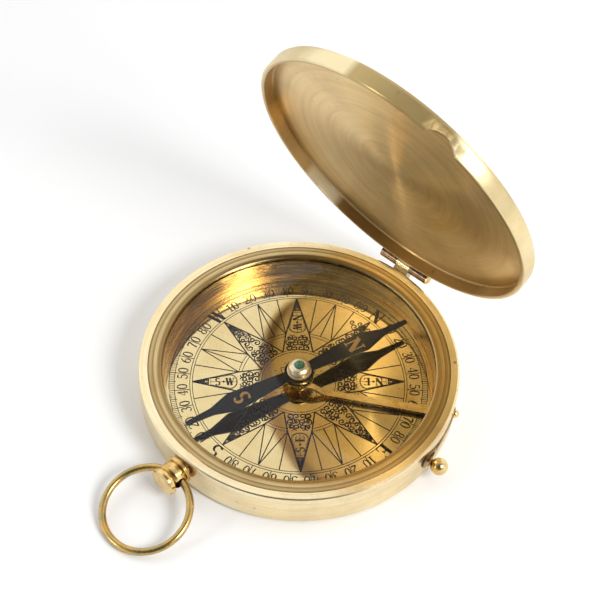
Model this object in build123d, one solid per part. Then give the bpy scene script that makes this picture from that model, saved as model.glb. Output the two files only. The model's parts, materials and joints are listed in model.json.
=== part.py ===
from build123d import *
import math
import os

# Lidded brass pocket compass with a carrying ring, a needle lock and a hinged lid.
# Millimetres. Origin: centre of the base. +Z up, hinge at +Y, pendant and ring near -Y.
# The part rests with its lid open, leaning over the dial.

# ---- driving dimensions ----
CASE_R = 38.0
CASE_H = 9.5
WALL = 1.1
FLOOR = 1.0
RIM_INNER_R = 35.9
RIM_DEPTH = 1.6
LID_GAP = 0.1
LID_H = 4.5
LID_PLATE = 1.5
LID_OPEN = 74.8

OPENING_R = 32.43
BEZEL_R = 35.85
LIP_Z = 8.8
GLASS_R = 33.35
GLASS_SEAT_Z = 7.9
GLASS_T = 0.85
GLASS_RISE = 1.7
SLEEVE_OUTER_R = 33.0
DIAL_T = 0.6
DIAL_R = 32.35
RETAINER_IN_R = 31.9

HINGE_Y = 40.13
HINGE_Z = 10.2
KNUCKLE_R = 1.45
PIN_R = 0.6
HINGE_FIT = 0.05
MID_KNUCKLE = (-2.1, 1.9)
LEFT_KNUCKLE = (-7.0, -2.2)
RIGHT_KNUCKLE = (2.0, 6.9)

PENDANT_DEG = -93.4
PENDANT_Z = 5.6
RING_PIVOT_R = 41.12
BARREL_R0 = 39.45
BARREL_R1 = 42.8
RING_R = 10.1
RING_WIRE_R = 0.87
RING_HOLE_R = 1.52
RING_SEAT = 0.5
RING_YAW = 7.6

KNOB_DEG = 2.5
KNOB_Z = 5.2
KNOB_R = 2.05
KNOB_CENTRE = 41.1
STEM_R = 0.6
BUSH_R = 2.35
BUSH_SEAT = 37.75
LEAF_DEG = 24.5
LEVER_DEG = 26.0
STUD_R = 34.95
ARM_NEAR = (7.24, 0.99)
LEVER_Z = 2.2
LEVER_T = 0.8
LEVER_W = 2.4
LEVER_NECK_W = 1.4
EYE_Z = 4.1
LEAF_T = 0.2
LEAF_H = 2.0
LEAF_START = LEAF_DEG + 1.6
LEAF_LEAVES = 14.0
LEAF_END = -0.5
LEVER_EYE_R = (2.1, 3.7)

POST_R = 1.3
NEEDLE_DEG = 71.8
NEEDLE_TIP = 30.5
NEEDLE_Z = 5.68
NEEDLE_T = 0.3
HUB_R = 3.5
HUB_HALF = 1.1
SHOULDER_R = 18.0
SHOULDER_HALF = 2.75
WAIST_R = 23.6
WAIST_HALF = 1.0
TIP_HALF = 0.55
CAP_BORE_R = 1.6
NOTCH_DEG = -61.8
NOTCH_HALF = 4.3
NOTCH_DEPTH = 1.8

# ---- sizes worked out from them ----
DIAL_TOP = FLOOR + DIAL_T
LID_Z0 = CASE_H + LID_GAP
LID_Z1 = LID_Z0 + LID_H
WALL_IN_R = CASE_R - WALL
RING_CENTRE = (RING_R * math.sin(math.radians(RING_YAW)),
               RING_SEAT - RING_R * math.cos(math.radians(RING_YAW)))
RING_TILT = math.degrees(math.asin((PENDANT_Z - RING_WIRE_R) / (RING_R - RING_CENTRE[1])))


def polar(radius, deg, z=0.0):
    """A point at a radius and an angle from +X about the case's centre."""
    a = math.radians(deg)
    return (radius * math.cos(a), radius * math.sin(a), z)


def turned(points):
    """A solid of revolution about Z from (radius, height) points."""
    face = make_face(Plane.XZ * Polyline(points, close=True))
    return revolve(face, Axis.Z)


def tube(r_out, r_in, z0, z1):
    """A plain upright tube."""
    return turned([(r_in, z0), (r_out, z0), (r_out, z1), (r_in, z1)])


def rod(radius, z0, z1):
    """A plain upright rod."""
    return turned([(0, z0), (radius, z0), (radius, z1), (0, z1)])


def along(deg, height):
    """A frame whose Z runs outward at an angle, at a height above the base."""
    a = math.radians(deg)
    return Plane(origin=(0, 0, height), x_dir=(0, 0, 1), z_dir=(math.cos(a), math.sin(a), 0))


def radial(solid, deg, height):
    """Lay an upright solid down so that its Z points outward at an angle."""
    return along(deg, height) * solid


def across(solid, y, z):
    """Lay an upright solid down so that its Z points along +X."""
    return Plane(origin=(0, y, z), x_dir=(0, 1, 0), z_dir=(1, 0, 0)) * solid


def opened(solid):
    """Swing a lid piece from closed to its open rest."""
    hinge = Axis((0, HINGE_Y, HINGE_Z), (-1, 0, 0))
    return solid.rotate(hinge, LID_OPEN)


# ---- case ----
def case_shell():
    """The spun drum: floor, wall, and the rim that the bezel drops into."""
    drum = turned([
        (0, 0), (CASE_R - 1.0, 0), (CASE_R - 0.3, 0.3), (CASE_R, 1.0),
        (CASE_R, CASE_H - 0.5), (CASE_R - 0.15, CASE_H - 0.15), (CASE_R - 0.5, CASE_H),
        (RIM_INNER_R, CASE_H), (RIM_INNER_R, CASE_H - RIM_DEPTH),
        (WALL_IN_R, CASE_H - RIM_DEPTH - 0.4), (WALL_IN_R, FLOOR), (0, FLOOR),
    ])
    drum -= turned([(0, 0), (1.9, 0), (1.0, 0.7), (1.0, FLOOR), (0, FLOOR)])
    drum -= radial(rod(1.15, 36.0, 39.0), KNOB_DEG, KNOB_Z)
    drum -= radial(rod(BUSH_R + 0.05, BUSH_SEAT, 39.0), KNOB_DEG, KNOB_Z)
    drum -= radial(rod(0.5, 36.0, 39.0), LEAF_DEG, KNOB_Z)
    drum -= radial(rod(1.2, 36.0, 39.0), PENDANT_DEG, PENDANT_Z)
    drum -= radial(rod(2.4, 37.8, 39.0), PENDANT_DEG, PENDANT_Z)
    return drum


def bezel_ring():
    """The ring that drops into the rim and holds the crystal down."""
    return turned([
        (OPENING_R, LIP_Z), (GLASS_R + 0.05, LIP_Z), (GLASS_R + 0.05, GLASS_SEAT_Z),
        (BEZEL_R, GLASS_SEAT_Z), (BEZEL_R, CASE_H - 0.1), (BEZEL_R - 0.1, CASE_H),
        (OPENING_R + 1.0, CASE_H), (OPENING_R + 0.3, CASE_H - 0.12),
        (OPENING_R + 0.05, CASE_H - 0.3), (OPENING_R, CASE_H - 0.5),
    ])


def crystal():
    """A shallow domed glass with a flat edge."""
    top = GLASS_SEAT_Z + GLASS_T
    flat_r = OPENING_R + 0.1
    dome_r = flat_r - 1.0
    lift = GLASS_RISE

    def dome(z):
        radius = (dome_r ** 2 + lift ** 2) / (2 * lift)
        mid = dome_r / 2
        mid_z = z + lift - radius + math.sqrt(radius ** 2 - mid ** 2)
        return (dome_r, z), (mid, mid_z), (0, z + lift)

    outer = dome(top)
    inner = dome(GLASS_SEAT_Z)
    edges = Polyline([inner[0], (GLASS_R, GLASS_SEAT_Z), (GLASS_R, top), outer[0]])
    edges += ThreePointArc(*outer)
    edges += Line(outer[2], inner[2])
    edges += ThreePointArc(*inner)
    return revolve(make_face(Plane.XZ * edges), Axis.Z)


def inner_sleeve():
    """The wall between the dial and the bezel, with the lever's window."""
    sleeve = turned([
        (OPENING_R, FLOOR), (SLEEVE_OUTER_R, FLOOR), (SLEEVE_OUTER_R, GLASS_SEAT_Z - 0.6),
        (BEZEL_R - 0.1, GLASS_SEAT_Z - 0.6), (BEZEL_R - 0.1, GLASS_SEAT_Z),
        (OPENING_R, GLASS_SEAT_Z),
    ])
    window = Pos(STUD_R - 2.2, 0, LEVER_Z + LEVER_T / 2) * Box(4, LEVER_W + 1.0, 2.2)
    return sleeve - Rot(0, 0, LEVER_DEG) * window


def dial_plate():
    """The printed dial."""
    return tube(DIAL_R, 0.95, FLOOR, DIAL_TOP)


def dial_retaining_ring():
    """A split spring ring that holds the dial's edge down."""
    ring = tube(OPENING_R - 0.03, RETAINER_IN_R, DIAL_TOP, DIAL_TOP + 0.4)
    return ring - Rot(0, 0, -120) * Pos(OPENING_R, 0, DIAL_TOP) * Box(3, 0.8, 3)


# ---- needle's post ----
def pivot_post():
    """The centre post, shouldered on the dial."""
    post = turned([
        (0, FLOOR + 0.1), (0.93, FLOOR + 0.1), (0.93, DIAL_TOP), (2.6, DIAL_TOP),
        (2.6, DIAL_TOP + 0.5), (POST_R, DIAL_TOP + 0.8), (POST_R, 6.45), (0.8, 6.9), (0, 6.9),
    ])
    post -= rod(0.5, 5.0, 7.0)
    return post - rod(0.55, 0, 3.0)


def post_screw():
    """The countersunk screw that pulls the post down on the floor."""
    screw = turned([
        (0, 0), (1.85, 0), (0.95, 0.68), (0.95, FLOOR + 0.08), (0.54, FLOOR + 0.08),
        (0.54, 2.9), (0, 2.9),
    ])
    for side in (-1, 1):
        screw -= Pos(side * 1.1, 0, 0) * rod(0.3, -1, 0.35)
    return screw


def pivot_point():
    """The hard steel point that the needle turns on."""
    return turned([(0, 5.0), (0.49, 5.0), (0.49, 6.9), (0.08, 7.5), (0, 7.53)])


# ---- needle lock ----
def lifting_lever():
    """A strip from the collar's eye to its stud, with a tail that runs round to the knob's stem."""
    low, high, eye_t = LEVER_Z, EYE_Z, 0.7
    stud = polar(STUD_R, LEVER_DEG)
    run = math.dist(stud[:2], ARM_NEAR)
    heading = math.degrees(math.atan2(ARM_NEAR[1] - stud[1], ARM_NEAR[0] - stud[0]))
    top_of_ramp, tongue = run + 3.0, run + 5.2
    side = Polyline([
        (0, low), (run, low), (top_of_ramp, high), (tongue, high), (tongue, high + eye_t),
        (top_of_ramp - 0.2, high + eye_t), (run - 0.2, low + LEVER_T), (0, low + LEVER_T),
    ], close=True)
    wide, neck = LEVER_W / 2, LEVER_NECK_W / 2
    plan = Polyline([
        (0, -wide), (run, -neck), (tongue, -neck), (tongue, neck), (run, neck), (0, wide),
    ], close=True)
    arm = extrude(make_face(Plane.XZ * side), LEVER_W, both=True)
    arm &= extrude(make_face(plan), 20)
    body = Pos(stud[0], stud[1], 0) * Rot(0, 0, heading) * arm
    body += Pos(stud[0], stud[1], 0) * rod(1.35, low, low + LEVER_T)
    body += rod(LEVER_EYE_R[1], high, high + eye_t)
    body -= rod(LEVER_EYE_R[0], 0, 9)
    tail_half = 0.65
    tail = tube(STUD_R + tail_half, STUD_R - tail_half, low, low + LEVER_T)
    wedge_pts = [(0, 0), polar(50, KNOB_DEG - 2), polar(50, LEVER_DEG)]
    wedge = extrude(make_face(Polyline(wedge_pts, close=True)), 20)
    tab_top = 4.9
    tab = Pos(STUD_R, 0, (low + tab_top) / 2) * Box(0.5, 1.4, tab_top - low)
    body += tail & wedge
    body += Rot(0, 0, KNOB_DEG) * tab
    return body - Pos(*polar(STUD_R, LEVER_DEG)) * rod(0.7, 0, 9)


def lever_stud():
    """The shouldered rivet that the lever rocks on."""
    mid = LEVER_Z + LEVER_T / 2
    stud = turned([
        (0, FLOOR), (1.2, FLOOR), (0.9, LEVER_Z - 0.06), (0.45, LEVER_Z - 0.06),
        (0.45, mid + LEVER_T / 2 + 0.06), (1.0, mid + LEVER_T / 2 + 0.06),
        (0.8, mid + LEVER_T / 2 + 0.4), (0, mid + LEVER_T / 2 + 0.5),
    ])
    return Pos(*polar(STUD_R, LEVER_DEG)) * stud


def lifting_collar():
    """The dished collar that slides on the post and lifts the needle."""
    seat = EYE_Z + 0.73
    return turned([
        (POST_R + 0.05, seat - 0.6), (1.8, seat - 0.6), (1.8, seat), (3.0, seat),
        (3.0, seat + 0.35), (2.2, seat + 0.45), (2.0, NEEDLE_Z - 0.02),
        (POST_R + 0.05, NEEDLE_Z - 0.02),
    ])


# ---- needle ----
def needle_blade():
    """A thin blade: each half widens to a shoulder and draws in to a thin tip."""
    upper = [(0, HUB_HALF), (SHOULDER_R, SHOULDER_HALF), (WAIST_R, WAIST_HALF)]
    upper += [(NEEDLE_TIP, TIP_HALF)]
    lower = [(x, -y) for x, y in reversed(upper)]
    arm = extrude(make_face(Polyline(upper + lower, close=True)), NEEDLE_T)
    blade = arm + Rot(0, 0, 180) * arm + rod(HUB_R, 0, NEEDLE_T)
    blade -= rod(CAP_BORE_R + 0.1, -1, 2)
    return Rot(0, 0, NEEDLE_DEG) * Pos(0, 0, NEEDLE_Z) * blade


def needle_cap():
    """The brass cap riveted to the blade, hollow for the pivot."""
    z = NEEDLE_Z + NEEDLE_T
    return turned([
        (CAP_BORE_R, z), (2.9, z), (2.9, z + 0.45), (2.45, z + 0.6), (2.45, z + 0.85), (2.75, z + 1.0),
        (2.75, z + 1.35), (2.4, z + 1.95), (1.9, z + 2.3), (1.3, z + 2.45), (1.3, z + 2.15),
        (1.0, z + 2.15), (1.0, z + 1.9), (CAP_BORE_R, z + 1.9),
    ])


def bearing_cup():
    """The hard cup inside the cap that sits on the steel point."""
    z = NEEDLE_Z + NEEDLE_T
    return turned([
        (0, 7.55), (0.9, z + 1.15), (CAP_BORE_R, z + 1.15), (CAP_BORE_R, z + 1.9),
        (0, z + 1.9),
    ])


def cap_jewel():
    """The coloured jewel set in the top of the cap."""
    z = NEEDLE_Z + NEEDLE_T
    return turned([
        (0, z + 1.9), (1.0, z + 1.9), (1.0, z + 2.15), (1.3, z + 2.15), (1.3, z + 2.5),
        (0.9, z + 2.7), (0.45, z + 2.8), (0, z + 2.82),
    ])


# ---- knob and leaf spring ----
def knob_ball():
    """The ball that is pressed to lock the needle."""
    ball = Pos(0, 0, KNOB_CENTRE) * Sphere(KNOB_R)
    ball -= rod(STEM_R, KNOB_CENTRE - KNOB_R - 1, KNOB_CENTRE)
    return radial(ball, KNOB_DEG, KNOB_Z)


def knob_stem():
    """The stem with the cone that pushes the lever's tail down."""
    stem = turned([
        (0, 34.6), (0.04, 34.6), (STEM_R, 36.18), (STEM_R, KNOB_CENTRE), (0, KNOB_CENTRE),
    ])
    return radial(stem, KNOB_DEG, KNOB_Z)


def knob_bush():
    """The grooved bush that guides the stem through the wall."""
    bush = turned([
        (STEM_R + 0.06, 36.6), (1.15, 36.6), (1.15, BUSH_SEAT), (BUSH_R, BUSH_SEAT), (BUSH_R, 37.98),
        (BUSH_R - 0.2, 38.02), (BUSH_R - 0.2, 38.08), (BUSH_R, 38.12), (BUSH_R, 38.2),
        (BUSH_R - 0.2, 38.28), (STEM_R + 0.06, 38.28),
    ])
    return radial(bush, KNOB_DEG, KNOB_Z)


def leaf_spring():
    """The leaf that follows the wall from its screw and springs off to the knob."""
    mid_r = CASE_R + 0.02 + LEAF_T / 2
    run = mid_r * math.tan(math.radians(LEAF_LEAVES - LEAF_END))
    a = math.radians(LEAF_LEAVES)
    tip = (mid_r * math.cos(a) + run * math.sin(a), mid_r * math.sin(a) - run * math.cos(a))
    inner, outer = -LEAF_T / 2, LEAF_T / 2

    def side(offset):
        r = mid_r + offset
        middle = (LEAF_START + LEAF_LEAVES) / 2
        arc = [polar(r, LEAF_START), polar(r, middle), polar(r, LEAF_LEAVES)]
        end_pt = (tip[0] + offset * math.cos(a), tip[1] + offset * math.sin(a))
        return arc, end_pt

    arc_in, end_in = side(inner)
    arc_out, end_out = side(outer)
    edges = ThreePointArc(*arc_in) + Line(arc_in[2], end_in) + Line(end_in, end_out)
    edges += Line(end_out, arc_out[2])
    edges += ThreePointArc(arc_out[2], arc_out[1], arc_out[0])
    edges += Line(arc_out[0], arc_in[0])
    leaf = Pos(0, 0, KNOB_Z - LEAF_H / 2) * extrude(make_face(edges), LEAF_H)
    leaf -= radial(rod(0.8, 37, 42), KNOB_DEG, KNOB_Z)
    return leaf - radial(rod(0.5, 37, 42), LEAF_DEG, KNOB_Z)


def leaf_screw():
    """The domed screw at the leaf's fixed end."""
    seat = CASE_R + 0.04 + LEAF_T
    head_r = 1.05
    shank = rod(0.48, 36.4, seat + 0.2)
    head = Pos(0, 0, seat) * Sphere(head_r) - rod(2 * head_r, seat - 2 * head_r, seat)
    return radial(shank + head, LEAF_DEG, KNOB_Z)


# ---- hinge ----
def barrel(span):
    """One knuckle of the hinge, bored for the pin."""
    knuckle = tube(KNUCKLE_R, PIN_R + HINGE_FIT, span[0], span[1])
    return across(knuckle, HINGE_Y, HINGE_Z)


def lug(span, low, high, root):
    """The web that joins a knuckle to a wall, cut to the wall's curve."""
    y_mid = HINGE_Y
    pts = [
        (CASE_R - 0.6, root), (CASE_R - 0.6, low), (CASE_R + 0.7, low), (y_mid + 1.0, high),
        (y_mid, HINGE_Z), (y_mid - 1.0, HINGE_Z),
    ]
    face = make_face(Plane.YZ * Polyline(pts, close=True))
    web = Pos(span[0], 0, 0) * extrude(face, span[1] - span[0], dir=(1, 0, 0))
    web -= rod(CASE_R, 0, 20)
    return web - across(rod(PIN_R + HINGE_FIT, span[0] - 1, span[1] + 1), HINGE_Y, HINGE_Z)


def hinge_case_knuckle():
    """The middle knuckle, soldered to the case."""
    return barrel(MID_KNUCKLE) + lug(MID_KNUCKLE, 6.2, HINGE_Z - 1.0, 9.2)


def hinge_lid_knuckle(span):
    """An outer knuckle, soldered to the lid."""
    return opened(barrel(span) + lug(span, LID_Z0 + 3.4, HINGE_Z + 1.0, LID_Z0 + 1.2))


def hinge_pin():
    """The hinge pin with its domed head at the +X end."""
    x1 = RIGHT_KNUCKLE[1]
    pin = turned([
        (0, LEFT_KNUCKLE[0]), (PIN_R, LEFT_KNUCKLE[0]), (PIN_R, x1 + 0.02),
        (1.35, x1 + 0.02), (1.35, x1 + 0.35), (0.9, x1 + 0.6), (0, x1 + 0.7),
    ])
    return opened(across(pin, HINGE_Y, HINGE_Z))


# ---- lid ----
def lid_shell():
    """The shallow lid with a scalloped nail notch in its rim."""
    shell = turned([
        (0, LID_Z1 - LID_PLATE), (WALL_IN_R - 0.3, LID_Z1 - LID_PLATE),
        (WALL_IN_R, LID_Z1 - LID_PLATE - 0.3), (WALL_IN_R, LID_Z0), (CASE_R - 0.2, LID_Z0),
        (CASE_R, LID_Z0 + 0.2), (CASE_R, LID_Z1 - 1.0), (CASE_R - 0.3, LID_Z1 - 0.3),
        (CASE_R - 1.0, LID_Z1), (0, LID_Z1),
    ])
    notch_r = (NOTCH_HALF ** 2 + NOTCH_DEPTH ** 2) / (2 * NOTCH_DEPTH)
    cutter = rod(notch_r, CASE_R - 4, CASE_R + 2)
    shell -= radial(cutter, NOTCH_DEG, LID_Z0 + NOTCH_DEPTH - notch_r)
    return opened(shell)


# ---- pendant and ring ----
def pendant_stem():
    """The neck that screws through the wall and carries the pendant."""
    stem = turned([
        (0, 35.3), (1.2, 35.3), (1.2, 37.8), (2.35, 37.8), (2.35, 38.25), (1.5, 38.3),
        (1.5, 38.55), (0, 38.55),
    ])
    return radial(stem, PENDANT_DEG, PENDANT_Z)


def pendant_nut():
    """The hexagon nut behind the wall."""
    nut = extrude(RegularPolygon(1.9, 6), 0.95)
    nut = Pos(0, 0, 35.87) * (nut - rod(1.2, -1, 3))
    return radial(nut, PENDANT_DEG, PENDANT_Z)


def pendant_collar():
    """The thin grooved disc next to the neck."""
    disc = turned([
        (0, 38.55), (3.3, 38.55), (3.5, 38.7), (3.5, 38.95), (3.3, 39.03), (3.5, 39.1),
        (3.5, 39.3), (3.2, BARREL_R0), (0, BARREL_R0),
    ])
    return radial(disc, PENDANT_DEG, PENDANT_Z)


def pendant_barrel():
    """The turned barrel with the cross hole for the ring."""
    body = turned([
        (0, BARREL_R0), (2.6, BARREL_R0), (2.6, 39.65), (3.05, 39.85), (3.2, 40.5), (3.2, 41.6),
        (2.9, 42.2), (2.6, 42.5), (2.6, BARREL_R1), (0, BARREL_R1),
    ])
    body = radial(body, -90, PENDANT_Z)
    body -= across(rod(RING_HOLE_R, -5, 5), -RING_PIVOT_R, PENDANT_Z)
    return Rot(0, 0, PENDANT_DEG + 90) * body


def pendant_cap():
    """The flat-faced end disc."""
    cap = turned([
        (0, BARREL_R1), (3.0, BARREL_R1), (3.5, 43.0), (3.55, 43.5), (3.45, 44.0), (3.1, 44.2), (0, 44.3),
    ])
    return radial(cap, PENDANT_DEG, PENDANT_Z)


def carrying_ring():
    """The round wire ring, lying down to the surface the case stands on and turned a little in its hole."""
    ring = Pos(RING_CENTRE[0], RING_CENTRE[1], 0) * Torus(RING_R, RING_WIRE_R)
    ring = ring.rotate(Axis.X, RING_TILT)
    return Rot(0, 0, PENDANT_DEG + 90) * Pos(0, -RING_PIVOT_R, PENDANT_Z) * ring


NODES = {
    "case_shell": case_shell,
    "bezel_ring": bezel_ring,
    "crystal": crystal,
    "inner_sleeve": inner_sleeve,
    "dial_plate": dial_plate,
    "dial_retaining_ring": dial_retaining_ring,
    "pivot_post": pivot_post,
    "post_screw": post_screw,
    "pivot_point": pivot_point,
    "lifting_lever": lifting_lever,
    "lever_stud": lever_stud,
    "lifting_collar": lifting_collar,
    "needle_blade": needle_blade,
    "needle_cap": needle_cap,
    "bearing_cup": bearing_cup,
    "cap_jewel": cap_jewel,
    "knob_ball": knob_ball,
    "knob_stem": knob_stem,
    "knob_bush": knob_bush,
    "leaf_spring": leaf_spring,
    "leaf_screw": leaf_screw,
    "hinge_case_knuckle": hinge_case_knuckle,
    "hinge_lid_knuckle_left": lambda: hinge_lid_knuckle(LEFT_KNUCKLE),
    "hinge_lid_knuckle_right": lambda: hinge_lid_knuckle(RIGHT_KNUCKLE),
    "hinge_pin": hinge_pin,
    "lid_shell": lid_shell,
    "pendant_stem": pendant_stem,
    "pendant_nut": pendant_nut,
    "pendant_collar": pendant_collar,
    "pendant_barrel": pendant_barrel,
    "pendant_cap": pendant_cap,
    "carrying_ring": carrying_ring,
}

os.makedirs("parts", exist_ok=True)
for node, make in NODES.items():
    solid = make()
    export_step(solid, f"parts/{node}.step")
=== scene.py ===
import json
import math

import bpy
from mathutils import Matrix, Vector


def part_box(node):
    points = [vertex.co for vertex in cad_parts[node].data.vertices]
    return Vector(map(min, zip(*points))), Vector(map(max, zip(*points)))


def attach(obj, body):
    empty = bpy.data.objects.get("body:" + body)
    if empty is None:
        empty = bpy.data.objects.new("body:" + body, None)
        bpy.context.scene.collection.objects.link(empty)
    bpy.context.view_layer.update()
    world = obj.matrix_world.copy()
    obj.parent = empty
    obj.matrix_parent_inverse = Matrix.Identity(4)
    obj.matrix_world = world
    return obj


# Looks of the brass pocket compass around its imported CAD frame.
# Metres in Blender; the helpers below take millimetres and turn them into metres.

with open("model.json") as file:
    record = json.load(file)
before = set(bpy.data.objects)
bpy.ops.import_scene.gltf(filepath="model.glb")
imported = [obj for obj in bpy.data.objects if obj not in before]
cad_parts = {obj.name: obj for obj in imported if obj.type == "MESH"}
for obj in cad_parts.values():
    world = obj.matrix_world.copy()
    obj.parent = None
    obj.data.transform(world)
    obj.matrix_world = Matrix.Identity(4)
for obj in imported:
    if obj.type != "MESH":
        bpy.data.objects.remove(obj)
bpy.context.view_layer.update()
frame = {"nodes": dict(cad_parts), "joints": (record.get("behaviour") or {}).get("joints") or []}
nodes = frame["nodes"]

MM = 0.001
LID_OPEN = math.radians(74.8)  # from shut to the resting pose
ROSE_NORTH = 87.2  # the card's printed north, in degrees from +X
NEEDLE_BEARING = 71.8  # the needle's N end, in degrees from +X

# Radii of the printed dial's circles.
MEDALLION_R = (8.9, 9.53)
INNER_R = (13.9, 14.66)
OUTER_R = (25.5, 26.1)
TICK_R = (29.8, 31.1)
NUMBER_R = 27.95
INK_SUNK = 0.02
INK_PROUD = 0.012

# Linear colours.
BRASS = (0.80, 0.60, 0.27)
BRASS_DEEP = (0.62, 0.39, 0.12)
BRASS_BROWN = (0.30, 0.17, 0.06)
RING_BRASS = (0.42, 0.33, 0.14)
CAP_BRASS = (0.86, 0.76, 0.56)
LEAF_BRASS = (0.5, 0.42, 0.25)
BUSH_BRASS = (0.26, 0.18, 0.09)
TARNISH = (0.10, 0.055, 0.025)
INK = (0.010, 0.006, 0.004)
GOLD_INK = (0.27, 0.145, 0.035)

# Pairs of linear colours: the main tone, and the one that clouds it.
CASE_TONES = ((0.88, 0.77, 0.52), (0.84, 0.66, 0.36))
SLEEVE_TONES = ((0.84, 0.62, 0.28), (0.50, 0.31, 0.10))
BEZEL_TONES = ((0.58, 0.45, 0.23), (0.29, 0.20, 0.08))
LID_TONES = ((0.82, 0.62, 0.31), (0.66, 0.42, 0.14))
LID_WALL_TONES = ((0.88, 0.75, 0.46), (0.70, 0.55, 0.28))
DIAL_TONES = ((0.72, 0.57, 0.30), (0.58, 0.40, 0.15))
NEEDLE_TONES = ((0.005, 0.005, 0.006), (0.009, 0.008, 0.009))
BRONZE_TONES = ((0.10, 0.055, 0.03), (0.24, 0.16, 0.09))
STEEL_TONES = ((0.62, 0.60, 0.57), (0.42, 0.40, 0.38))
GLASS_TONES = ((0.985, 0.99, 0.975), (0.97, 0.98, 0.965))
JEWEL_TONES = ((0.003, 0.045, 0.022), (0.012, 0.11, 0.06))
FLOOR_TONES = ((0.95, 0.95, 0.95), (0.93, 0.93, 0.93))

# Tints painted on the lid's wall in place of reflections of things that are not in the scene.
# They turn with the lid. Each is (middle and half width of its sector in degrees, soft edge, strength, colour).
OLIVE_PAINTED_REFLECTION = (-80, 19, 3.0, 0.8, (0.41, 0.28, 0.10))
BROWN_PAINTED_REFLECTION = (88, 34, 8.0, 0.75, (0.26, 0.15, 0.05))
PALE_PAINTED_REFLECTION = (133, 7, 3.0, 0.8, (0.95, 0.88, 0.66))

# Where the bezel's groove and the lid's rim and wall lie, as radii and heights with the lid shut.
BEZEL_GROOVE_R = 34.6
# The band of painted shade in the lid's inner corner.
LID_CORNER_SHADE_R = (33.5, 36.9)
LID_WALL_Z = (12.0, 12.6)
LID_OUTSIDE_R = (37.2, 37.6)
# The dial's band of painted reflection, next to the sleeve wall.
DIAL_REFLECTION_BAND_R = (31.2, 32.3)

DIAL_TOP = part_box("dial_plate")[1].z / MM
NEEDLE_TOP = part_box("needle_blade")[1].z / MM
HINGE = [j for j in frame["joints"] if j["name"] == "lid_hinge"][0]["pos_m"]


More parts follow.
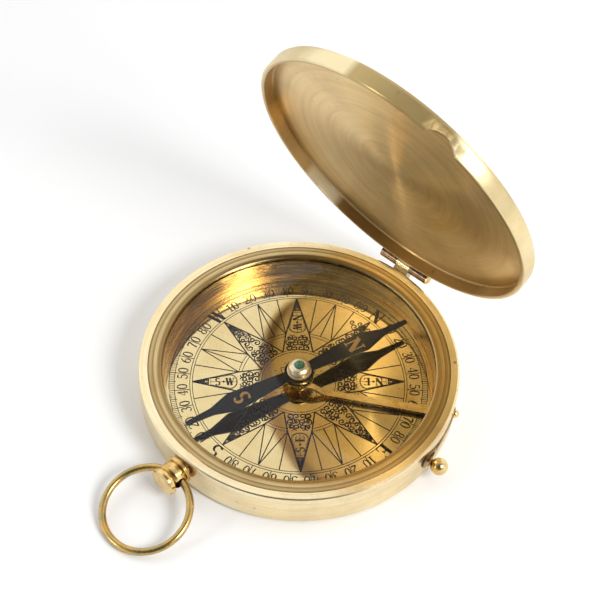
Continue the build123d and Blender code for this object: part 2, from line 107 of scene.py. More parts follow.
# ---- node graphs ----
class Graph:
    """Short names for building one material's nodes. Lengths in the graph are millimetres."""

    def __init__(self, name):
        self.mat = bpy.data.materials.new(name)
        self.mat.use_nodes = True
        self.tree = self.mat.node_tree
        self.bsdf = self.tree.nodes["Principled BSDF"]
        coords = self.node("TexCoord").outputs["Object"]
        self.mm = self.vector("SCALE", coords, scale=1 / MM)

    def node(self, kind, **settings):
        made = self.tree.nodes.new("ShaderNode" + kind)
        for key, value in settings.items():
            setattr(made, key, value)
        return made

    def feed(self, socket, value):
        """Link a socket to another, or set its plain value."""
        if isinstance(value, bpy.types.NodeSocket):
            self.tree.links.new(value, socket)
        else:
            socket.default_value = value

    def math(self, operation, a, b=0.0):
        made = self.node("Math", operation=operation)
        for socket, value in zip(made.inputs, (a, b)):
            self.feed(socket, value)
        return made.outputs[0]

    def vector(self, operation, a, b=(0, 0, 0), scale=None):
        made = self.node("VectorMath", operation=operation)
        self.feed(made.inputs[0], a)
        self.feed(made.inputs[1], b)
        if scale is not None:
            self.feed(made.inputs["Scale"], scale)
        return made.outputs["Value" if operation in ("LENGTH", "DOT_PRODUCT") else "Vector"]

    def split(self, vector):
        made = self.node("SeparateXYZ")
        self.feed(made.inputs[0], vector)
        return made.outputs

    def join(self, x, y, z):
        made = self.node("CombineXYZ")
        for socket, value in zip(made.inputs, (x, y, z)):
            self.feed(socket, value)
        return made.outputs[0]

    def noise(self, coords, scale=1.0, detail=3.0, roughness=0.5):
        made = self.node("TexNoise")
        self.feed(made.inputs["Vector"], coords)
        made.inputs["Scale"].default_value = scale
        made.inputs["Detail"].default_value = detail
        made.inputs["Roughness"].default_value = roughness
        return made.outputs["Fac"]

    def span(self, value, low, high, to_low=0.0, to_high=1.0, smooth=False):
        """Map a value's range onto another, clamped at both ends."""
        made = self.node("MapRange", clamp=True)
        if smooth:
            made.interpolation_type = "SMOOTHSTEP"
        for socket, given in zip(made.inputs, (value, low, high, to_low, to_high)):
            self.feed(socket, given)
        return made.outputs[0]

    def mix(self, share, a, b):
        made = self.node("Mix", data_type="RGBA")
        for index, value in ((0, share), (6, a), (7, b)):
            if isinstance(value, tuple) and len(value) == 3:
                value = (*value, 1.0)
            self.feed(made.inputs[index], value)
        return made.outputs[2]

    def bump(self, height, depth):
        """Turn a 0 to 1 height into a normal, with the full height in millimetres."""
        made = self.node("Bump")
        made.inputs["Distance"].default_value = depth * MM
        self.feed(made.inputs["Height"], height)
        return made.outputs[0]

    def turned_frame(self, lid=False):
        """The point's place about the case's axis: as (vector, radius, height, outward direction)."""
        place = self.mm
        if lid:
            made = self.node("VectorRotate", rotation_type="X_AXIS")
            self.feed(made.inputs["Vector"], place)
            made.inputs["Center"].default_value = [c / MM for c in HINGE]
            made.inputs["Angle"].default_value = LID_OPEN
            place = made.outputs[0]
        flat = self.vector("MULTIPLY", place, (1, 1, 0))
        return place, self.vector("LENGTH", flat), self.split(place)[2], self.vector("NORMALIZE", flat)

    def lathe_marks(self, turned, along, across, detail=4.0):
        """Noise drawn out round the axis: along is its rate round a turn, across its rate per mm."""
        _, radius, height, outward = turned
        parts = self.split(outward)
        lanes = self.math("ADD", self.math("MULTIPLY", radius, across), self.math("MULTIPLY", height, across))
        x = self.math("MULTIPLY", parts[0], along)
        y = self.math("MULTIPLY", parts[1], along)
        return self.noise(self.join(x, y, lanes), detail=detail, roughness=0.6)

    def radial_tangent(self, turned, lid=False):
        """The outward direction as a tangent, so that a highlight runs across the lathe's marks."""
        outward = turned[3]
        if lid:
            made = self.node("VectorRotate", rotation_type="X_AXIS")
            self.feed(made.inputs["Vector"], outward)
            made.inputs["Angle"].default_value = -LID_OPEN
            outward = made.outputs[0]
        to_world = self.node("VectorTransform", vector_type="VECTOR", convert_from="OBJECT", convert_to="WORLD")
        self.feed(to_world.inputs[0], outward)
        return to_world.outputs[0]

    def sector(self, turned, degrees, half, soft):
        """1 inside a sector about the axis, fading to 0 over the soft angle beside it."""
        a = math.radians(degrees)
        along = self.vector("DOT_PRODUCT", turned[3], (math.cos(a), math.sin(a), 0))
        return self.span(along, math.cos(math.radians(half + soft)), math.cos(math.radians(half)))

    def tint(self, turned, base, where, degrees, half, soft, strength, colour):
        """Lay a colour over one sector of the part that a mask leaves open: a painted reflection."""
        patch = self.math("MULTIPLY", where, self.sector(turned, degrees, half, soft))
        return self.mix(self.math("MULTIPLY", patch, strength), base, colour)

    def specks(self, coords, scale, share, seed=0.0):
        """Small scattered spots: 1 inside a spot. Share is the part of the cells that holds one."""
        cells = self.node("TexVoronoi", feature="F1")
        self.feed(cells.inputs["Vector"], self.vector("ADD", coords, (seed, seed, seed)))
        cells.inputs["Scale"].default_value = scale
        chosen = self.math("LESS_THAN", self.split(cells.outputs["Color"])[0], share)
        dot = self.span(cells.outputs["Distance"], 0.12, 0.32, 1.0, 0.0)
        return self.math("MULTIPLY", chosen, dot)

    def finish(self, base, roughness, metallic=1.0, normal=None):
        self.feed(self.bsdf.inputs["Base Color"], base)
        self.feed(self.bsdf.inputs["Roughness"], roughness)
        self.bsdf.inputs["Metallic"].default_value = metallic
        if normal is not None:
            self.feed(self.bsdf.inputs["Normal"], normal)
        return self.mat


# ---- materials ----
def turned_brass(name, tones, stain, rough=(0.16, 0.34), marks=0.002):
    """Lathe-turned lacquered brass: drawn-out marks, cloudy tarnish and small dark specks."""
    g = Graph(name)
    turned = g.turned_frame()
    fine = g.lathe_marks(turned, along=2.5, across=9.0)
    broad = g.lathe_marks(turned, along=1.6, across=1.3, detail=2.0)
    cloud = g.noise(g.mm, scale=0.09, detail=5.0, roughness=0.6)
    base = g.mix(g.span(broad, 0.35, 0.68), *tones)
    base = g.mix(g.span(cloud, 0.48, 0.74, 0.0, stain), base, BRASS_BROWN)
    spots = g.specks(g.mm, 0.55, 0.04)
    small = g.specks(g.mm, 1.7, 0.04, seed=7.0)
    dirt = g.math("MAXIMUM", g.math("MULTIPLY", spots, 0.6), g.math("MULTIPLY", small, 0.5))
    base = g.mix(dirt, base, TARNISH)
    roughness = g.span(g.math("ADD", fine, g.math("MULTIPLY", dirt, 0.5)), 0.3, 0.9, *rough)
    g.bsdf.inputs["Anisotropic"].default_value = 0.4
    g.feed(g.bsdf.inputs["Tangent"], g.radial_tangent(turned))
    return g.finish(base, roughness, normal=g.bump(fine, marks))


def bezel_brass():
    """The bezel: stepped concentric bands, tan between bright lines."""
    g = Graph("bezel_brass")
    turned = g.turned_frame()
    radius = turned[1]
    fine = g.lathe_marks(turned, along=2.0, across=7.0)
    bands = g.noise(g.join(0.0, 0.0, g.math("MULTIPLY", radius, 1.1)), detail=2.0)
    base = g.mix(g.span(bands, 0.38, 0.6), *BEZEL_TONES)
    base = g.mix(g.span(fine, 0.45, 0.75, 0.0, 0.7), base, BRASS_BROWN)
    groove = g.math("ABSOLUTE", g.math("SUBTRACT", radius, BEZEL_GROOVE_R))
    # Painted shade in the groove: a dark brown line mixed into the colour. The same mask also sinks the
    # groove's bump.
    line = g.span(groove, 0.0, 0.12, 1.0, 0.0)
    base = g.mix(g.math("MULTIPLY", line, 0.5), base, BRASS_BROWN)
    cloud = g.noise(g.mm, scale=0.12, detail=4.0)
    base = g.mix(g.span(cloud, 0.5, 0.75, 0.0, 0.35), base, BRASS_BROWN)
    height = g.math("SUBTRACT", fine, g.math("MULTIPLY", line, 2.0))
    g.bsdf.inputs["Anisotropic"].default_value = 0.5
    g.feed(g.bsdf.inputs["Tangent"], g.radial_tangent(turned))
    return g.finish(base, g.span(fine, 0.3, 0.8, 0.16, 0.34), normal=g.bump(height, 0.008))


def lid_brass():
    """The lid: spun inside, so its sheen spreads as two fans from the centre."""
    g = Graph("lid_brass")
    turned = g.turned_frame(lid=True)
    fine = g.lathe_marks(turned, along=1.2, across=9.0)
    broad = g.lathe_marks(turned, along=0.8, across=0.7, detail=3.0)
    cloud = g.noise(turned[0], scale=0.05, detail=4.0, roughness=0.55)
    base = g.mix(g.span(broad, 0.35, 0.7, 0.0, 0.6), *LID_TONES)
    base = g.mix(g.span(cloud, 0.5, 0.75, 0.0, 0.4), base, BRASS_BROWN)
    # Painted shade: brown deepening towards the corner between the lid's disc and its wall.
    rim_corner_shade = g.span(turned[1], *LID_CORNER_SHADE_R, 0.0, 0.45, smooth=True)
    base = g.mix(rim_corner_shade, base, BRASS_BROWN)
    wall = g.span(turned[2], *LID_WALL_Z, 1.0, 0.0)
    outside = g.span(turned[1], *LID_OUTSIDE_R)
    base = g.mix(outside, base, g.mix(g.span(cloud, 0.42, 0.66), *LID_WALL_TONES))
    # Painted reflections: an olive sector on the lid's outside wall, and a brown and a pale sector on its inner
    # wall.
    base = g.tint(turned, base, outside, *OLIVE_PAINTED_REFLECTION)
    inside = g.math("MULTIPLY", wall, g.math("SUBTRACT", 1.0, outside))
    base = g.tint(turned, base, inside, *BROWN_PAINTED_REFLECTION)
    base = g.tint(turned, base, inside, *PALE_PAINTED_REFLECTION)
    spots = g.specks(turned[0], 0.6, 0.05)
    small = g.specks(turned[0], 2.6, 0.10, seed=3.0)
    dirt = g.math("MAXIMUM", g.math("MULTIPLY", spots, 0.5), g.math("MULTIPLY", small, 0.35))
    dirt = g.math("MULTIPLY", dirt, g.span(inside, 0.0, 1.0, 0.3, 1.0))
    base = g.mix(dirt, base, TARNISH)
    roughness = g.span(g.math("ADD", fine, dirt), 0.3, 1.2, 0.30, 0.42)
    g.bsdf.inputs["Anisotropic"].default_value = 0.95
    g.feed(g.bsdf.inputs["Tangent"], g.radial_tangent(turned, lid=True))
    return g.finish(base, roughness, normal=g.bump(fine, 0.0006))


def polished_brass(name="polished_brass", rough=(0.12, 0.24), base=BRASS, stain=0.35, marks=0.002):
    """Hand-polished brass: small scratches, cloudy patches and a few pits."""
    g = Graph(name)
    scratches = g.noise(g.vector("MULTIPLY", g.mm, (1.0, 6.0, 2.5)), scale=1.4, detail=6.0, roughness=0.7)
    cloud = g.noise(g.mm, scale=0.35, detail=4.0)
    tint = g.mix(g.span(cloud, 0.42, 0.66), base, BRASS_DEEP)
    tint = g.mix(g.span(g.noise(g.mm, scale=0.8, detail=5.0), 0.55, 0.72, 0.0, stain), tint, BRASS_BROWN)
    pits = g.specks(g.mm, 2.2, 0.10)
    tint = g.mix(g.math("MULTIPLY", pits, 0.55), tint, TARNISH)
    height = g.math("SUBTRACT", scratches, pits)
    return g.finish(tint, g.span(scratches, 0.35, 0.7, *rough), normal=g.bump(height, marks))


def works_brass():
    """The lever, its stud and the collar: satin brass with darker grain."""
    g = Graph("works_brass")
    grain = g.noise(g.vector("MULTIPLY", g.mm, (0.6, 4.0, 4.0)), scale=1.0, detail=4.0)
    cloud = g.noise(g.mm, scale=0.3, detail=4.0)
    base = g.mix(g.span(cloud, 0.4, 0.7), BRASS, BRASS_DEEP)
    base = g.mix(g.span(grain, 0.55, 0.8, 0.0, 0.4), base, BRASS_BROWN)
    return g.finish(base, g.span(grain, 0.3, 0.8, 0.16, 0.34), normal=g.bump(grain, 0.006))


def dial_brass():
    """The dial's plate: pale brass polished almost to a mirror under clear lacquer."""
    g = Graph("dial_brass")
    turned = g.turned_frame()
    fine = g.lathe_marks(turned, along=3.0, across=3.0)
    cloud = g.noise(g.mm, scale=0.10, detail=5.0)
    base = g.mix(g.span(cloud, 0.42, 0.72, 0.0, 0.5), *DIAL_TONES)
    age = g.specks(g.mm, 1.1, 0.06)
    base = g.mix(g.math("MULTIPLY", age, 0.35), base, BRASS_BROWN)
    # Painted reflection: a brown band at the dial's edge that stands in for the sleeve wall's reflection.
    edge = g.span(turned[1], *DIAL_REFLECTION_BAND_R, 0.0, 0.4)
    base = g.mix(edge, base, BRASS_BROWN)
    return g.finish(base, g.span(cloud, 0.3, 0.75, 0.06, 0.1), normal=g.bump(fine, 0.0003))


def ink():
    """Printing ink with slightly uneven cover."""
    g = Graph("ink")
    grain = g.noise(g.mm, scale=3.0, detail=3.0)
    base = g.mix(g.span(grain, 0.4, 0.75, 0.0, 0.5), INK, tuple(c * 1.8 for c in INK))
    g.bsdf.inputs["Specular IOR Level"].default_value = 0.1
    return g.finish(base, g.span(grain, 0.3, 0.7, 0.5, 0.7), metallic=0.0, normal=g.bump(grain, 0.0006))


def gold_ink():
    """Gold leaf letters, a little rubbed."""
    g = Graph("gold_ink")
    grain = g.noise(g.mm, scale=2.4, detail=4.0)
    base = g.mix(g.span(grain, 0.45, 0.75, 0.0, 0.6), GOLD_INK, BRASS_BROWN)
    return g.finish(base, g.span(grain, 0.3, 0.7, 0.3, 0.5), metallic=0.6)


def needle_enamel():
    """The needle's blued black enamel, with a fine net of grain."""
    g = Graph("needle_enamel")
    grain = g.noise(g.mm, scale=1.6, detail=5.0, roughness=0.65)
    base = g.mix(g.span(grain, 0.45, 0.8, 0.0, 0.4), *NEEDLE_TONES)
    g.bsdf.inputs["Specular IOR Level"].default_value = 0.1
    return g.finish(base, g.span(grain, 0.3, 0.7, 0.35, 0.5), metallic=0.0, normal=g.bump(grain, 0.0003))


def bronze():
    """The hinge: dark brass with lighter clouds and darker grain."""
    g = Graph("bronze")
    cloud = g.noise(g.mm, scale=0.9, detail=5.0, roughness=0.65)
    grain = g.noise(g.vector("MULTIPLY", g.mm, (0.4, 5.0, 5.0)), scale=1.0, detail=3.0)
    base = g.mix(g.span(cloud, 0.38, 0.64), *BRONZE_TONES)
    base = g.mix(g.span(grain, 0.5, 0.8, 0.0, 0.6), base, TARNISH)
    return g.finish(base, g.span(cloud, 0.3, 0.7, 0.14, 0.28), normal=g.bump(grain, 0.003))


def steel():
    """Hardened steel, finely polished."""
    g = Graph("steel_fine")
    grain = g.noise(g.mm, scale=3.0, detail=4.0)
    base = g.mix(grain, *STEEL_TONES)
    return g.finish(base, g.span(grain, 0.3, 0.7, 0.12, 0.28), normal=g.bump(grain, 0.002))


def glass():
    """The crystal: clear, faintly warm, and open to light that only passes through."""
    g = Graph("clear_glass")
    smear = g.noise(g.mm, scale=0.08, detail=3.0)
    g.bsdf.inputs["Transmission Weight"].default_value = 1.0
    g.bsdf.inputs["IOR"].default_value = 1.25
    g.finish(g.mix(smear, *GLASS_TONES), 0.0, metallic=0.0)
    clear = g.node("BsdfTransparent")
    choose = g.node("MixShader")
    g.feed(choose.inputs[0], g.node("LightPath").outputs["Is Shadow Ray"])
    g.feed(choose.inputs[1], g.bsdf.outputs[0])
    g.feed(choose.inputs[2], clear.outputs[0])
    output = [n for n in g.tree.nodes if n.type == "OUTPUT_MATERIAL"][0]
    g.feed(output.inputs["Surface"], choose.outputs[0])
    return g.mat


def jewel():
    """A green paste jewel with faint clouds."""
    g = Graph("jewel_green")
    cloud = g.noise(g.mm, scale=1.1, detail=3.0)
    base = g.mix(g.span(cloud, 0.4, 0.7), *JEWEL_TONES)
    g.bsdf.inputs["Coat Weight"].default_value = 0.8
    g.bsdf.inputs["Coat Roughness"].default_value = 0.05
    g.bsdf.inputs["IOR"].default_value = 1.6
    return g.finish(base, g.span(cloud, 0.3, 0.7, 0.05, 0.15), metallic=0.0, normal=g.bump(cloud, 0.01))


def floor_paint():
    """The plain pale floor."""
    g = Graph("floor_paint")
    grain = g.noise(g.mm, scale=0.02, detail=2.0)
    base = g.mix(grain, *FLOOR_TONES)
    return g.finish(base, 0.9, metallic=0.0)


def dress(material, *names):
    """Give CAD nodes a material."""
    for name in names:
        slots = nodes[name].data.materials
        slots.clear()
        slots.append(material)


# ---- printed shapes ----
class Print:
    """Flat shapes raised into thin closed slabs at one height."""

    def __init__(self, top):
        self.low = top - INK_SUNK
        self.high = top + INK_PROUD
        self.points = []
        self.faces = []

    def strip(self, left, right, closed=False):
        """A slab between two side lines with the same number of points."""
        start = len(self.points)
        for a, b in zip(left, right):
            for x, y in (a, b):
                self.points += [(x, y, self.high), (x, y, self.low)]
        count = len(left)
        spans = range(count if closed else count - 1)
        for i in spans:
            p = start + 4 * i
            q = start + 4 * ((i + 1) % count)
            self.faces += [(p, p + 2, q + 2, q), (p + 1, q + 1, q + 3, p + 3)]
            self.faces += [(p, q, q + 1, p + 1), (p + 2, p + 3, q + 3, q + 2)]
        if not closed:
            last = start + 4 * (count - 1)
            self.faces += [(start, start + 1, start + 3, start + 2)]
            self.faces += [(last, last + 2, last + 3, last + 1)]

    def pen(self, line, width, closed=False):
        """A stroke along a line. Width is one number, or one for each point."""
        count = len(line)
        widths = width if isinstance(width, list) else [width] * count
        left, right = [], []
        for i, (x, y) in enumerate(line):
            before = line[i - 1] if i or closed else line[i]
            after = line[(i + 1) % count] if i < count - 1 or closed else line[i]
            dx, dy = after[0] - before[0], after[1] - before[1]
            size = math.hypot(dx, dy) or 1.0
            half = widths[i] / 2
            left.append((x - dy / size * half, y + dx / size * half))
            right.append((x + dy / size * half, y - dx / size * half))
        self.strip(left, right, closed)

    def ring(self, radius, width, steps=180):
        """A full circle of a line."""
        outer = [polar(radius + width / 2, 360 * i / steps) for i in range(steps)]
        inner = [polar(radius - width / 2, 360 * i / steps) for i in range(steps)]
        self.strip(outer, inner, closed=True)

    def arc(self, radius, first, last, width):
        steps = max(2, int(abs(last - first) / 2))
        self.pen([polar(radius, first + (last - first) * i / steps) for i in range(steps + 1)], width)

    def dot(self, centre, radius):
        """A filled round dot."""
        left = [(centre[0] + radius * math.cos(a), centre[1] + radius * math.sin(a))
                for a in [math.radians(20 * i) for i in range(10)]]
        right = [(x, 2 * centre[1] - y) for x, y in left]
        self.strip(left, right)

    def make(self, name, material, body):
        """Turn the shapes into one object that rides on a body."""
        mesh = bpy.data.meshes.new(name)
        mesh.from_pydata([tuple(c * MM for c in p) for p in self.points], [], self.faces)
        mesh.validate()
        mesh.update()
        mesh.materials.append(material)
        made = bpy.data.objects.new(name, mesh)
        bpy.context.scene.collection.objects.link(made)
        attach(made, body)
        return made


def polar(radius, degrees):
    a = math.radians(degrees)
    return (radius * math.cos(a), radius * math.sin(a))


def bearing(radius, degrees):
    """A point on the dial at a bearing clockwise from its printed north."""
    return polar(radius, ROSE_NORTH - degrees)


def local(origin, up_degrees, u, v):
    """A point at u to the right and v up, in a frame whose up direction is at an angle from +X."""
    a = math.radians(up_degrees)
    up = (math.cos(a), math.sin(a))
    right = (up[1], -up[0])
    return (origin[0] + right[0] * u + up[0] * v, origin[1] + right[1] * u + up[1] * v)


def curve(cx, cy, rx, ry, first, last, steps=14):
    """Points of an ellipse's arc, in a letter's own units."""
    turn = [math.radians(first + (last - first) * i / steps) for i in range(steps + 1)]
    return [(cx + rx * math.cos(a), cy + ry * math.sin(a)) for a in turn]


# Each letter's width, then its strokes as (kind, points), in units of its height.
# "pen" strokes thicken where they stand upright.
GLYPHS = {
    "0": (0.56, [("pen", curve(0.28, 0.5, 0.23, 0.48, 0, 360, 24))]),
    "1": (0.42, [("thick", [(0.24, 0), (0.24, 1)]), ("thin", [(0.04, 0.80), (0.24, 0.97)]),
                 ("thin", [(0.04, 0.02), (0.44, 0.02)])]),
    "2": (0.56, [("pen", curve(0.27, 0.72, 0.21, 0.25, 165, -20) + [(0.05, 0.05)]),
                 ("thick", [(0.03, 0.05), (0.52, 0.05)]), ("thin", [(0.52, 0.02), (0.54, 0.22)])]),
    "3": (0.54, [("pen", curve(0.26, 0.75, 0.19, 0.22, 155, -85)),
                 ("pen", curve(0.25, 0.27, 0.24, 0.26, 88, -155))]),
    "4": (0.60, [("thick", [(0.40, 0), (0.40, 1)]), ("thin", [(0.40, 0.98), (0.03, 0.30)]),
                 ("thin", [(0.02, 0.29), (0.58, 0.29)]), ("thin", [(0.26, 0.02), (0.54, 0.02)])]),
    "5": (0.54, [("thin", [(0.10, 0.97), (0.10, 0.56)]), ("thick", [(0.08, 0.95), (0.46, 0.95)]),
                 ("pen", curve(0.24, 0.31, 0.24, 0.30, 128, -155))]),
    "6": (0.56, [("pen", curve(0.28, 0.29, 0.22, 0.27, 0, 360, 20)),
                 ("pen", curve(0.52, 0.32, 0.46, 0.66, 175, 98))]),
    "7": (0.52, [("thick", [(0.02, 0.95), (0.50, 0.95)]), ("thin", [(0.03, 0.97), (0.02, 0.78)]),
                 ("pen", [(0.49, 0.95), (0.30, 0.55), (0.20, 0)])]),
    "8": (0.56, [("pen", curve(0.28, 0.75, 0.17, 0.22, 0, 360, 20)),
                 ("pen", curve(0.28, 0.27, 0.22, 0.26, 0, 360, 20))]),
    "N": (0.92, [("thin", [(0.16, 0), (0.16, 1)]), ("bold", [(0.16, 1), (0.76, 0)]),
                 ("thin", [(0.76, 0), (0.76, 1)]), ("thin", [(0.02, 0.02), (0.30, 0.02)]),
                 ("thin", [(0.0, 0.98), (0.24, 0.98)]), ("thin", [(0.62, 0.98), (0.90, 0.98)])]),
    "E": (0.74, [("bold", [(0.20, 0), (0.20, 1)]), ("thin", [(0.04, 0.98), (0.66, 0.98)]),
                 ("thin", [(0.04, 0.02), (0.68, 0.02)]), ("thin", [(0.20, 0.52), (0.50, 0.52)]),
                 ("thin", [(0.65, 0.99), (0.65, 0.78)]), ("thin", [(0.67, 0.01), (0.70, 0.26)]),
                 ("thin", [(0.50, 0.64), (0.50, 0.40)])]),
    "S": (0.62, [("pen", curve(0.30, 0.75, 0.20, 0.23, 35, 262)),
                 ("pen", curve(0.30, 0.27, 0.24, 0.25, 84, -145)),
                 ("thin", [(0.48, 0.97), (0.48, 0.84)]), ("thin", [(0.07, 0.03), (0.07, 0.16)])]),
    "W": (1.06, [("bold", [(0.14, 1), (0.36, 0)]), ("thin", [(0.36, 0), (0.56, 0.94)]),
                 ("bold", [(0.52, 1), (0.74, 0)]), ("thin", [(0.74, 0), (0.94, 1)]),
                 ("thin", [(0.0, 0.98), (0.30, 0.98)]), ("thin", [(0.40, 0.98), (0.66, 0.98)]),
                 ("thin", [(0.80, 0.98), (1.06, 0.98)])]),
}


def letter(sheet, sign, origin, up_degrees, height, weight=0.15):
    """Draw one letter centred on a point, with its top towards an angle."""
    width, strokes = GLYPHS[sign]
    for kind, line in strokes:
        placed = [local(origin, up_degrees, (x - width / 2) * height, (y - 0.5) * height) for x, y in line]
        if kind == "pen":
            widths = []
            for i, point in enumerate(line):
                other = line[i + 1] if i + 1 < len(line) else line[i - 1]
                upright = abs(other[1] - point[1]) / (math.dist(point, other) or 1.0)
                widths.append(height * weight * (0.45 + 0.55 * upright))
            sheet.pen(placed, widths)
        else:
            share = {"thin": 0.45, "thick": 1.0, "bold": 1.35}[kind]
            sheet.pen(placed, height * weight * share)


def text(sheet, words, radius, degrees, height, weight=0.15, gap=0.12, split=0.0):
    """Letters side by side on a circle, tops outward. Split leaves room at the middle for a line."""
    widths = [GLYPHS[c][0] * height for c in words]
    total = sum(widths) + gap * height * (len(words) - 1) + split
    at = -total / 2
    for index, sign in enumerate(words):
        if index == len(words) // 2 and index:
            at += split
        middle = at + widths[index] / 2
        turn = degrees + math.degrees(middle / radius)
        letter(sheet, sign, bearing(radius, turn), ROSE_NORTH - turn, height, weight)
        at += widths[index] + gap * height


# ---- dial print ----
EDGE_W = 0.36
LINE_W = 0.27
FINE_W = 0.16
HAIR_W = 0.10
CORNER = 11.25  # half the angle of a rose point at its widest
NUMERAL_H = 2.45
CARDINAL_H = 3.7
WINDOW_H = 2.1
WINDOW_BAR = 21.6  # distance of the bar above a window
NEEDLE_LETTER_H = 3.9
NEEDLE_LETTER_R = 15.6


def print_rings(material):
    sheet = Print(DIAL_TOP)
    for radius in MEDALLION_R:
        sheet.ring(radius, FINE_W)
    for radius in OUTER_R:
        sheet.ring(radius, 0.17)
    sheet.ring(TICK_R[0], FINE_W)
    sheet.ring(TICK_R[1], 0.18)
    for main in range(8):
        for radius in INNER_R:
            middle = ROSE_NORTH - 45 * main - 2 * CORNER
            sheet.arc(radius, middle - CORNER + 0.5, middle + CORNER - 0.5, FINE_W)
    sheet.make("print_rings", material, "case")


def print_ticks(material):
    sheet = Print(DIAL_TOP)
    for degree in range(360):
        inner = TICK_R[0] if degree % 5 else TICK_R[0] - 0.35
        width = 0.13 if degree % 5 else 0.2
        sheet.pen([bearing(inner, degree), bearing(TICK_R[1], degree)], width)
    for degree in range(0, 360, 10):
        if degree % 90:
            sheet.pen([bearing(OUTER_R[1], degree), bearing(TICK_R[0], degree)], 0.2)
    sheet.make("print_ticks", material, "case")


def print_numerals(material):
    sheet = Print(DIAL_TOP)
    for quarter in range(4):
        for tens in range(1, 9):
            degree = 90 * quarter + 10 * tens
            text(sheet, f"{tens}0", NUMBER_R, degree, NUMERAL_H, weight=0.14, gap=0.05, split=0.36)
    sheet.make("print_numerals", material, "case")


def print_cardinals(material):
    sheet = Print(DIAL_TOP)
    for index, sign in enumerate("NESW"):
        turn = 90 * index
        letter(sheet, sign, bearing(NUMBER_R, turn), ROSE_NORTH - turn, CARDINAL_H, weight=0.17)
    sheet.make("print_cardinals", material, "case")


def corner(main, side):
    """The widest place of a rose point, on one side of it."""
    return bearing(INNER_R[1], main + side * CORNER)


def print_rose(material):
    """The edges of the eight points, the half points between them and the rays."""
    sheet = Print(DIAL_TOP)
    for index in range(8):
        main = 45 * index
        tip = bearing(OUTER_R[0], main)
        half = bearing(OUTER_R[0], main + 2 * CORNER)
        for side in (-1, 1):
            sheet.pen([tip, corner(main, side)], EDGE_W)
            sheet.pen([corner(main, side), bearing(MEDALLION_R[1], main + side * 2 * CORNER)], EDGE_W)
            sheet.pen([corner(main, side), bearing(OUTER_R[0], main + side * CORNER)], LINE_W)
        sheet.pen([half, corner(main, 1)], LINE_W)
        sheet.pen([half, corner(main + 45, -1)], LINE_W)
        sheet.pen([half, bearing(INNER_R[1], main + 2 * CORNER)], LINE_W)
    sheet.make("print_rose", material, "case")


def half_width(s):
    """Half the width of a rose point at a distance from the dial's centre."""
    corner_s = INNER_R[1] * math.cos(math.radians(CORNER))
    corner_half = INNER_R[1] * math.sin(math.radians(CORNER))
    if s >= corner_s:
        return corner_half * (OUTER_R[0] - s) / (OUTER_R[0] - corner_s)
    root_s = MEDALLION_R[1] * math.cos(math.radians(2 * CORNER))
    root_half = MEDALLION_R[1] * math.sin(math.radians(2 * CORNER))
    return corner_half + (root_half - corner_half) * (corner_s - s) / (corner_s - root_s)


def scroll(sheet, main, s, t, size, turn, spin, width):
    """A curl that winds in to a dot. Main is the bearing of the point that it fills."""
    line, widths = [], []
    steps = 20
    for i in range(steps + 1):
        share = i / steps
        r = size * (1.0 - 0.86 * share)
        a = math.radians(turn + spin * 440 * share)
        line.append(local((0, 0), ROSE_NORTH - main, t + r * math.cos(a), s + r * math.sin(a)))
        widths.append(width * (1.0 + 0.7 * share))
    sheet.pen(line, widths)


def filigree(sheet, main, low, high, fill, width):
    """Pairs of curls and two wavy stems that fill a rose point between two distances from the centre."""
    s = low
    row = 0
    while s < high:
        half = half_width(s)
        size = max(0.24, min(1.05, half * fill))
        columns = max(1, int(half / (size * 1.3)))
        for column in range(columns):
            t = half * (column + 0.5) / columns * 0.86
            for side in (-1, 1):
                spin = side if (row + column) % 2 else -side
                scroll(sheet, main, s, side * t, size * 0.9, 90, spin, width)
        s += size * 1.45
        row += 1
    steps = 24
    for side in (-1, 1):
        line = []
        for i in range(steps + 1):
            s = low + (high - low) * i / steps
            wave = 0.5 + 0.28 * math.sin(2.6 * (s - low) + side)
            line.append(local((0, 0), ROSE_NORTH - main, side * half_width(s) * wave, s))
        sheet.pen(line, width)


def print_filigree(material):
    """Scrollwork in the rose's points, darkest round the medallion."""
    sheet = Print(DIAL_TOP)
    for index in range(8):
        main = 45 * index
        if index % 2:
            filigree(sheet, main, 10.1, 13.6, 0.33, 0.26)
            filigree(sheet, main, 22.0, 24.4, 0.5, 0.2)
        else:
            filigree(sheet, main, 10.2, 14.2, 0.33, 0.25)
            filigree(sheet, main, 15.3, 23.9, 0.52, 0.24)
            sheet.pen([bearing(15.2, main), bearing(25.0, main)], HAIR_W)
    sheet.make("print_filigree", material, "case")


def print_windows(material):
    """The lettered windows of the four points between the cardinals."""
    sheet = Print(DIAL_TOP)
    labels = {45: "NE", 135: "SE", 225: "SW", 315: "NW"}
    bottom, top, shoulder = 14.55, 21.1, 16.4
    for main, words in labels.items():
        up = ROSE_NORTH - main
        for scale, width in ((0.90, 0.18), (0.80, 0.10)):
            wide = half_width(shoulder) * scale
            round_end = [(wide * math.cos(math.radians(a)), shoulder + (shoulder - bottom) * scale
                          * math.sin(math.radians(a))) for a in range(180, 361, 15)]
            cap = half_width(top) * scale
            outline = [(-cap, top)] + round_end + [(cap, top)]
            sheet.pen([local((0, 0), up, x, s) for x, s in outline], width, closed=True)
        bar = half_width(WINDOW_BAR)
        sheet.pen([local((0, 0), up, -bar, WINDOW_BAR), local((0, 0), up, bar, WINDOW_BAR)], 0.22)
        sheet.pen([local((0, 0), up, 0, bottom + 0.3), local((0, 0), up, 0, top)], HAIR_W)
        for sign, s in zip(words, (19.4, 16.5)):
            letter(sheet, sign, local((0, 0), up, 0, s), up - 90, WINDOW_H, weight=0.19)
        sheet.dot(local((0, 0), up, 0, 18.0), 0.3)
    sheet.make("print_windows", material, "case")


def print_fleur(material):
    """The pair of curls beside the north point's tip."""
    sheet = Print(DIAL_TOP)
    for side in (-1, 1):
        for s, t, size in ((21.7, 1.75, 0.95), (23.3, 1.25, 0.75), (22.4, 3.0, 0.75)):
            scroll(sheet, 0, s, side * t, size, 200 if side > 0 else -20, side, 0.24)
    sheet.make("print_fleur", material, "case")


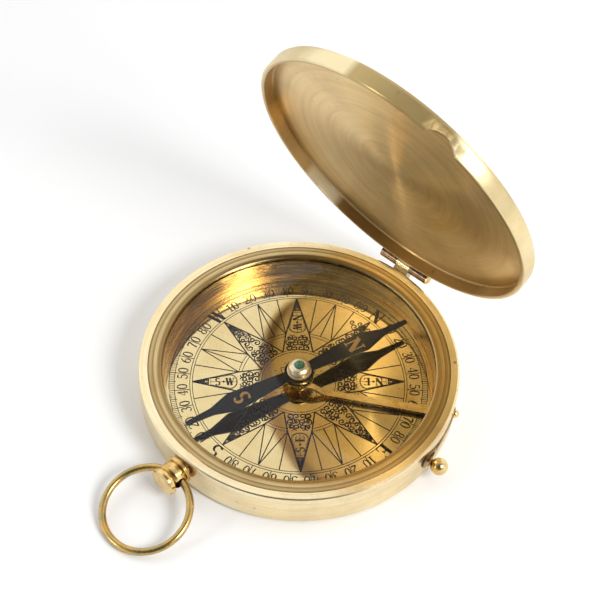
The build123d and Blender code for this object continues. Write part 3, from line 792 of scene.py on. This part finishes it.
def print_rosette(material):
    """A plain rosette in the middle."""
    sheet = Print(DIAL_TOP)
    petals = 12
    for index in range(petals):
        middle = 360 / petals * index
        for side in (-1, 1):
            line = [bearing(2.9 + 3.0 * i / 10, middle + side * 11 * math.sin(math.pi * i / 10))
                    for i in range(11)]
            sheet.pen(line, 0.17)
        sheet.pen([bearing(3.6, middle), bearing(5.0, middle)], 0.11)
        sheet.dot(bearing(6.35, middle + 180 / petals), 0.16)
    sheet.ring(2.85, 0.15)
    sheet.make("print_rosette", material, "case")


def needle_letters(material):
    """The gold N and S on the needle's two halves."""
    sheet = Print(NEEDLE_TOP)
    for sign, turn in (("N", 0), ("S", 180)):
        up = NEEDLE_BEARING + turn
        letter(sheet, sign, polar(NEEDLE_LETTER_R, up), up, NEEDLE_LETTER_H, weight=0.2)
    sheet.make("needle_letters", material, "needle")


# ---- light, floor and camera ----
VIEW_AZIMUTH = math.radians(39.12)
VIEW_ELEVATION = math.radians(51.547)
VIEW_ROLL = math.radians(2.527)
VIEW_DISTANCE = 0.393572
VIEW_TARGET = Vector((-0.014128, 0.016525, 0.006))
VIEW_LENS = 95.64
VIEW_BACK = (math.sin(VIEW_AZIMUTH) * math.cos(VIEW_ELEVATION),
             -math.cos(VIEW_AZIMUTH) * math.cos(VIEW_ELEVATION), math.sin(VIEW_ELEVATION))

# The surroundings' grey by direction, from 0 opposite the main view's camera to 1 behind it.
SKY_GREYS = ((0.66, 1.0), (0.78, 0.80), (0.88, 0.30))
SKY_DARKEST = 0.05
SKY_STRENGTH = 1.24
FLOOR_HALF = 3.0
FLOOR_DROP = 0.00005


def world_light():
    """White surroundings that darken behind the main view's camera. The dark patch stays put in other views."""
    world = bpy.data.worlds.new("studio")
    world.use_nodes = True
    bpy.context.scene.world = world
    tree = world.node_tree
    ground = tree.nodes["Background"]
    coords = tree.nodes.new("ShaderNodeTexCoord")
    ramp = tree.nodes.new("ShaderNodeValToRGB")
    facing = tree.nodes.new("ShaderNodeVectorMath")
    facing.operation = "DOT_PRODUCT"
    tree.links.new(coords.outputs["Generated"], facing.inputs[0])
    facing.inputs[1].default_value = VIEW_BACK
    spread = tree.nodes.new("ShaderNodeMapRange")
    spread.inputs["From Min"].default_value = -1.0
    tree.links.new(facing.outputs["Value"], spread.inputs["Value"])
    tree.links.new(spread.outputs[0], ramp.inputs[0])
    ramp.color_ramp.elements[0].position = 0.0
    ramp.color_ramp.elements[0].color = (1.0, 1.0, 1.0, 1)
    ramp.color_ramp.elements[1].position = 1.0
    ramp.color_ramp.elements[1].color = (SKY_DARKEST, SKY_DARKEST, SKY_DARKEST, 1)
    for place, grey in SKY_GREYS:
        made = ramp.color_ramp.elements.new(place)
        made.color = (grey, grey, grey, 1)
    tree.links.new(ramp.outputs[0], ground.inputs["Color"])
    ground.inputs["Strength"].default_value = SKY_STRENGTH


def area_light(name, place, size, power, aim=(0, 0, 0.02)):
    """A round soft light that faces a point near the compass."""
    data = bpy.data.lights.new(name, "AREA")
    data.shape = "DISK"
    data.size = size
    data.energy = power
    made = bpy.data.objects.new(name, data)
    bpy.context.scene.collection.objects.link(made)
    made.location = place
    made.rotation_mode = "QUATERNION"
    made.rotation_quaternion = (Vector(aim) - Vector(place)).to_track_quat("-Z", "Y")


def camera():
    """The main view's camera, with its slight roll."""
    data = bpy.data.cameras.new("camera")
    data.lens = VIEW_LENS
    data.sensor_width = 36.0
    data.clip_start = 0.01
    data.clip_end = 50.0
    made = bpy.data.objects.new("camera", data)
    bpy.context.scene.collection.objects.link(made)
    back = Vector(VIEW_BACK)
    flat_right = Vector((math.cos(VIEW_AZIMUTH), math.sin(VIEW_AZIMUTH), 0))
    flat_up = back.cross(flat_right)
    right = flat_right * math.cos(VIEW_ROLL) + flat_up * math.sin(VIEW_ROLL)
    up = flat_up * math.cos(VIEW_ROLL) - flat_right * math.sin(VIEW_ROLL)
    turn = Matrix((right, up, back)).transposed()
    made.matrix_world = Matrix.Translation(VIEW_TARGET + back * VIEW_DISTANCE) @ turn.to_4x4()
    bpy.context.scene.camera = made


def floor(material):
    """A plain square of floor under the compass."""
    size = FLOOR_HALF
    mesh = bpy.data.meshes.new("floor")
    corners = [(-size, -size, 0), (size, -size, 0), (size, size, 0), (-size, size, 0)]
    mesh.from_pydata(corners, [], [(0, 1, 2, 3)])
    mesh.materials.append(material)
    made = bpy.data.objects.new("floor", mesh)
    made.location.z = -FLOOR_DROP
    bpy.context.scene.collection.objects.link(made)


# ---- build ----
dress(turned_brass("case_brass", CASE_TONES, stain=0.25), "case_shell")
dress(turned_brass("sleeve_brass", SLEEVE_TONES, rough=(0.2, 0.36), marks=0.012, stain=0.45),
      "inner_sleeve", "dial_retaining_ring")
dress(bezel_brass(), "bezel_ring")
dress(lid_brass(), "lid_shell")
dress(dial_brass(), "dial_plate")
dress(polished_brass("ring_brass", rough=(0.2, 0.34), base=RING_BRASS, stain=0.2, marks=0.0006),
      "carrying_ring")
dress(polished_brass(), "pendant_stem", "pendant_nut", "pendant_collar",
      "pendant_barrel", "pendant_cap", "knob_ball", "leaf_screw", "hinge_pin")
dress(polished_brass("satin_brass", rough=(0.26, 0.4), base=CAP_BRASS, stain=0.15), "needle_cap")
dress(polished_brass("leaf_brass", rough=(0.2, 0.3), base=LEAF_BRASS), "leaf_spring", "hinge_case_knuckle")
dress(polished_brass("bush_brass", rough=(0.25, 0.4), base=BUSH_BRASS, stain=0.8),
      "knob_bush", "knob_stem")
dress(works_brass(), "lifting_lever", "lever_stud", "lifting_collar", "pivot_post", "post_screw")
dress(bronze(), "hinge_lid_knuckle_left", "hinge_lid_knuckle_right")
dress(needle_enamel(), "needle_blade")
dress(steel(), "pivot_point", "bearing_cup")
dress(glass(), "crystal")
dress(jewel(), "cap_jewel")

black = ink()
print_rings(black)
print_ticks(black)
print_numerals(black)
print_cardinals(black)
print_rose(black)
print_filigree(black)
print_windows(black)
print_fleur(black)
print_rosette(black)
needle_letters(gold_ink())

floor(floor_paint())
world_light()
area_light("key", (0.47, 0.0, 0.43), 0.26, 2.6)
area_light("front", (-0.24, -0.52, 0.22), 0.10, 0.35)
camera()
bpy.context.scene.view_settings.view_transform = "Standard"
